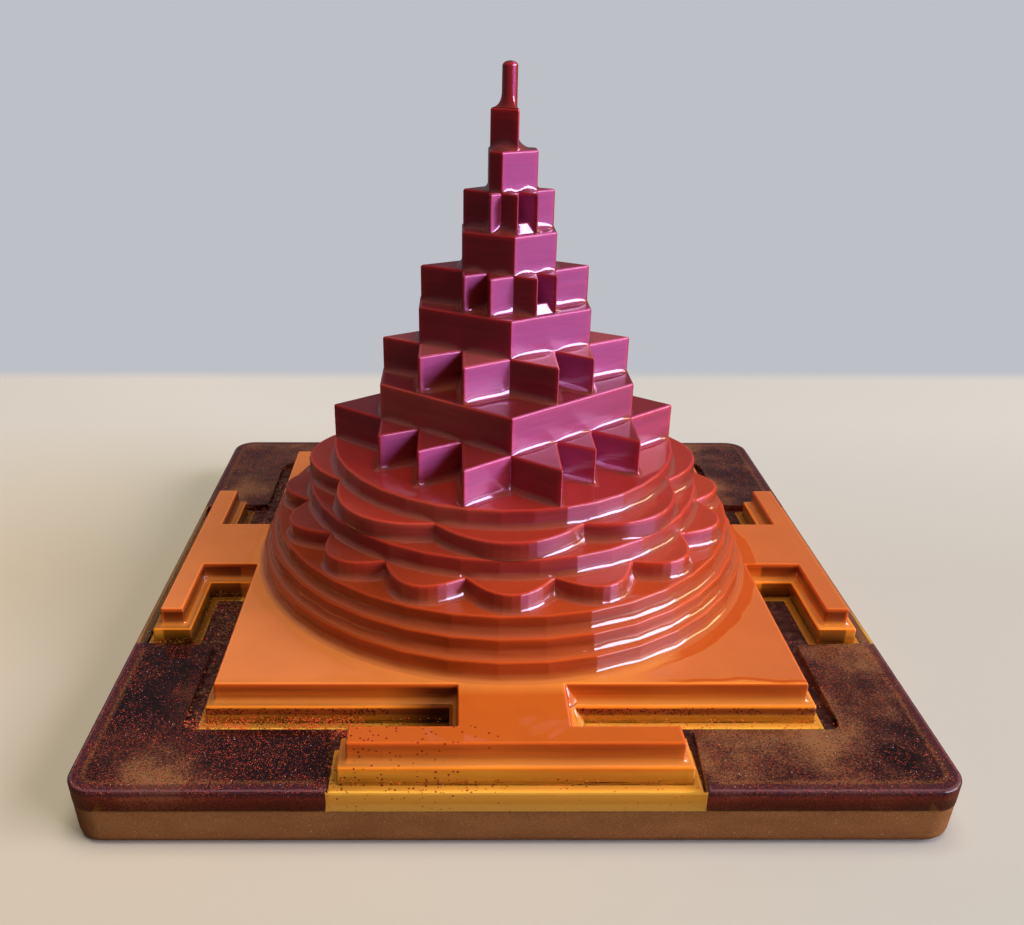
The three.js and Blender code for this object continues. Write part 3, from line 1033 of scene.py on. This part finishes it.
PIN_SIDES = 48
PIN_RADIUS = 2.0
PIN_CAP = 1.2  # height of its rounded end
PIN_FOOT = 5.2  # how far its foot reaches at most
PIN_FOOT_HEIGHT = 4.0


def build_bindu(material, triangle):
    """The pin: a rounded stem whose foot flares out over the whole top of the triangle."""
    bottom, top, _ = extent("bindu")
    around = rays(PIN_SIDES)
    reach = []
    for c, s in around:
        far = 0.5
        while distance_inside((far * c, far * s), triangle) > 0.35:
            far += 0.05
        reach.append(max(PIN_RADIUS, min(far, PIN_FOOT)))
    rings, resin = [], []
    for step in range(9):
        share = step / 8
        spread = (1 - share) ** 2.2
        z = bottom - SINK + PIN_FOOT_HEIGHT * share ** 1.6
        radii = [PIN_RADIUS + (far - PIN_RADIUS) * spread for far in reach]
        rings.append([(r * c, r * s, z) for r, (c, s) in zip(radii, around)])
        resin.append([spread] * PIN_SIDES)
    for step in range(9):
        angle = step / 8 * math.pi / 2
        r = max(PIN_RADIUS * math.cos(angle), 0.02)
        z = top - PIN_CAP + PIN_CAP * math.sin(angle)
        rings.append([(r * c, r * s, z) for c, s in around])
        resin.append([0.0] * PIN_SIDES)
    dress(loft("bindu_coated", rings, [material], {"resin": resin}), "bindu")


def resin_piece(name, rings, material, node):
    wet = [[1.0] * len(ring) for ring in rings]
    dress(loft(name, rings, [material], {"resin": wet}), node)


def build_drips(material, outlines):
    """Two thick drips of resin that slope up from a plate's right front edge to the star on it."""
    for plate, start, end in (("star_plate_third", 0.9, 9.8), ("star_plate_second", 6.6, 16.4)):
        loop = [Vector(p) for p in outlines[plate]]
        edges = [(a, b) for a, b in zip(loop, loop[1:] + loop[:1]) if b.x > a.x and b.y > a.y]
        a, b = max(edges, key=lambda edge: (edge[1] - edge[0]).length)
        along = (b - a).normalized()
        inward = Vector((-along.y, along.x))
        top = extent(plate)[1]
        middle, half = (start + end) / 2, (end - start) / 2
        rings = []
        for step in range(9):
            share = 0.92 * step / 8
            ring = []
            for c, s in rays(64):
                ragged = 1 + 0.16 * noise.noise(Vector((c * 1.6, s * 1.6, start)))
                u = half * abs(c) ** 0.6 * math.copysign(1.0, c) * ragged
                v = 1.75 * abs(s) ** 0.5 * math.copysign(1.0, s) * ragged
                u = middle + u * (1 - 0.45 * share)
                v = 2.7 + v * (1 - share) if v < 0 else 2.7 + 0.5 * v * (1 - share)
                place = a + along * u + inward * v
                ring.append((place.x, place.y, top - 0.05 + 3.1 * share))
            rings.append(ring)
        resin_piece(plate + "_drip", rings, material, plate)


def build_corner_runs(material):
    """Resin that ran down the corner to the right of the front gate's stem, over two tiers."""
    for tier, slot in (("bhupura_tier_upper", "print_orange"), ("bhupura_tier_middle", "print_amber")):
        square, stem = gate_sizes(tier)[:2]
        bottom, top, _ = extent(tier)
        rings = []
        for step in range(9):
            share = step / 8
            radius = 0.3 + 2.7 * (1 - share)
            ring = []
            for k, (c, s) in enumerate(rays(40)):
                out = radius * (1 + 0.06 * math.sin(5 * share + 4 * math.pi * k / 40))
                place = (stem + out * c, -square + out * s)
                ring.append((*place, bottom - 0.02 + (top - bottom - 0.3) * share))
            rings.append(ring)
        resin_piece(tier + "_run", rings, material, tier)


# The stage, light and camera


FLOOR_REACH = 3000.0
TABLE_EDGE = 228.0
WALL_COLOUR = srgb(190, 192, 199)
TABLE_COLOUR = srgb(203, 201, 192)
TABLE_BACK_COLOUR = srgb(217, 218, 210)
# Painted light: the table's left, away from the window, is coloured lighter and warmer than its right.
TABLE_LEFT_COLOUR = srgb(231, 217, 192)  # away from the window
TABLE_BACK_LEFT_COLOUR = srgb(236, 232, 223)


def stage():
    """A pale table, painted lighter and warmer on the left and darker towards the front on the left, and
    beyond its far edge the grey of the wall, which the world shows too.
    """
    n = Nodes("table_and_wall")
    x, y = n.x, n.y
    path = n.add("ShaderNodeLightPath").outputs
    seen = path["Is Camera Ray"]
    back = n.span(y, 20, 160)
    left = n.mix(back, TABLE_LEFT_COLOUR, TABLE_BACK_LEFT_COLOUR)
    # Painted shade: the table's left darkens towards the front.
    left = n.darkened(left, n.span(y, -90, -140, 1.0, 0.84))
    right = n.mix(back, TABLE_COLOUR, TABLE_BACK_COLOUR)
    table = n.mix(n.span(x, -170, 90), left, right)
    diffuse = n.mix(n.band(y, -260, -180, -105, -95), srgb(76, 62, 50), srgb(142, 126, 106))
    unseen = n.mix(path["Is Glossy Ray"], diffuse, srgb(92, 68, 50))
    table = n.mix(seen, unseen, table)
    n.finish(Base_Color=table, Roughness=0.6, Specular_IOR_Level=0.1)
    strength = n.span(seen, 0.0, 1.0, 0.14, 1.0)
    wall = n.add("ShaderNodeEmission", {"Color": WALL_COLOUR, "Strength": strength})
    beyond = n.span(y, TABLE_EDGE - 7, TABLE_EDGE + 7)
    both = n.add("ShaderNodeMixShader", {0: beyond, 1: n.shader, 2: wall})
    n.put(both, n.tree.nodes["Material Output"].inputs["Surface"])
    corners = [(x * FLOOR_REACH, y * FLOOR_REACH, 0) for x, y in ((-1, -1), (1, -1), (1, 1), (-1, 1))]
    floor = new_object("floor", corners, [(0, 1, 2, 3)], n.owner, smooth=False)


def rotation(*turns):
    """A rotation made of turns by an angle in degrees about an axis. The last one acts first."""
    result = Matrix.Identity(3)
    for angle, axis in turns:
        result = result @ Matrix.Rotation(math.radians(angle), 3, axis)
    return result


def area_light(name, azimuth, elevation, distance, size, power, colour):
    """A lamp that faces the object, in metres and degrees. Azimuth 0 is the front, 90 the right."""
    data = bpy.data.lights.new(name, "AREA")
    data.shape = "RECTANGLE"
    data.size, data.size_y = size
    data.energy = power
    data.color = colour
    aim = rotation((azimuth, "Z"), (90 - elevation, "X"))
    lamp = in_scene(name, data)
    lamp.location = aim @ Vector((0, 0, distance)) + Vector((0, 0, 0.06))
    lamp.rotation_euler = aim.to_euler()
    return lamp


def lights():
    n = Nodes("room", bpy.data.worlds)
    towards_back = n.split(n.add("ShaderNodeTexCoord").outputs["Generated"])[1]
    dim, bright = (0.045, 0.042, 0.040, 1.0), (0.09, 0.092, 0.10, 1.0)
    room = n.mix(n.span(towards_back, 0.05, 0.6), dim, bright)
    seen = n.add("ShaderNodeLightPath").outputs["Is Camera Ray"]
    n.put(n.mix(seen, room, WALL_COLOUR), n.tree.nodes["Background"].inputs["Color"])
    scene.world = n.owner
    area_light("window", 66.5, 26, 2.2, (1.75, 1.2), 52, (0.89, 0.83, 1.0))
    area_light("pale_wall", 101, 24, 2.2, (1.0, 0.4), 6.5, (1.0, 0.80, 0.42))
    above = area_light("overhead", 20, 86, 2.4, (1.5, 1.5), 35, (1.0, 0.93, 0.79))
    above.visible_glossy = False


def camera():
    data = bpy.data.cameras.new("camera")
    data.sensor_width = SENSOR_WIDTH
    data.lens = FOCAL_PIXELS * SENSOR_WIDTH / PHOTO_WIDTH
    data.shift_x = AXIS_LEFT_PIXELS / PHOTO_WIDTH
    data.shift_y = AXIS_DOWN_PIXELS / PHOTO_WIDTH
    data.clip_start = 0.01
    obj = in_scene("camera", data)
    obj.location = Vector(CAMERA_PLACE) * MM
    aim = rotation((-CAMERA_YAW, "Z"), (90 - CAMERA_PITCH, "X"), (CAMERA_ROLL, "Z"))
    obj.rotation_euler = aim.to_euler()
    scene.camera = obj


camera()
stage()
lights()
low_print = print_finishes("print_lower", (0.80, 0.70, 1.0, 1.0), 0.34, 1.5, 0.4, (1.3, 1.2, 1.0))
mid_print = print_finishes("print_middle", (0.95, 0.45, 1.0, 1.0), 0.9, 1.6, 0.3, (1.5, 1.3, 1.0))
high_print = print_finishes("print_upper", (1.0, 0.28, 0.95, 1.0), 1.0, 1.85, 0.1, (1.6, 1.3, 1.1))
outlines = build_print((low_print, mid_print, high_print))
build_bindu(high_print[1], outlines["central_triangle"])
build_drips(high_print[1], outlines)
build_corner_runs(low_print[1])
build_gold(gold_material())
lower_tier = gate_sizes("bhupura_tier_lower", 0.03)
build_purple(purple_material(), bed_material(), lower_tier)
build_clear(clear_material(), lower_tier, gate_sizes("bhupura_tier_middle", 0.03))
scene.view_settings.view_transform = "Standard"
